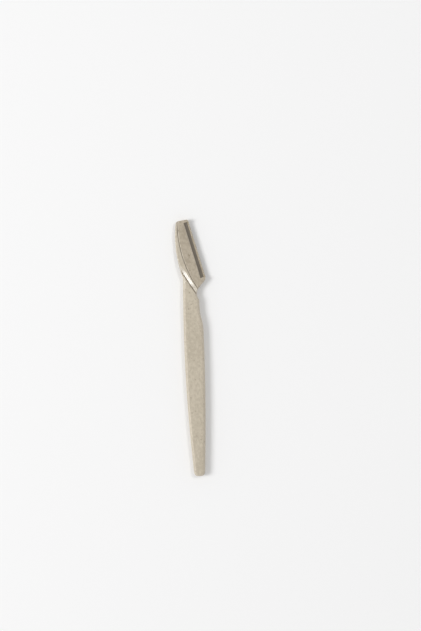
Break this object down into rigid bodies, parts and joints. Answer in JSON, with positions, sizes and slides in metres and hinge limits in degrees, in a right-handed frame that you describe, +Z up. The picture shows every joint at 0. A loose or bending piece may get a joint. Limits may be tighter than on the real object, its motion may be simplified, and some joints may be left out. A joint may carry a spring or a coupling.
{
  "type": "eyebrow razor",
  "caption": "Slim eyebrow razor: flat tapered grip with a finger notch, and a thin slanted head whose fixed blade sits under a crescent cover plate, behind a comb guard.",
  "frame": {"origin": "on the flat underside of the grip, on its axis, 60 mm from the tail", "axes": "+X across the razor to the cutting edge, +Y from tail to head, +Z up to the cover plate's side"},
  "size_m": [0.0166, 0.1486, 0.0048],
  "materials": {
    "handle": "moulded straw-filled plastic with faint specks",
    "cover_plate": "moulded straw-filled plastic with faint specks",
    "edge_guard": "moulded straw-filled plastic with faint specks",
    "blade": "rolled strip"
  },
  "bodies": {
    "root": {"handle": "handle", "blade": "blade", "cover_plate": "cover_plate", "edge_guard": "edge_guard"}
  },
  "joints": []
}
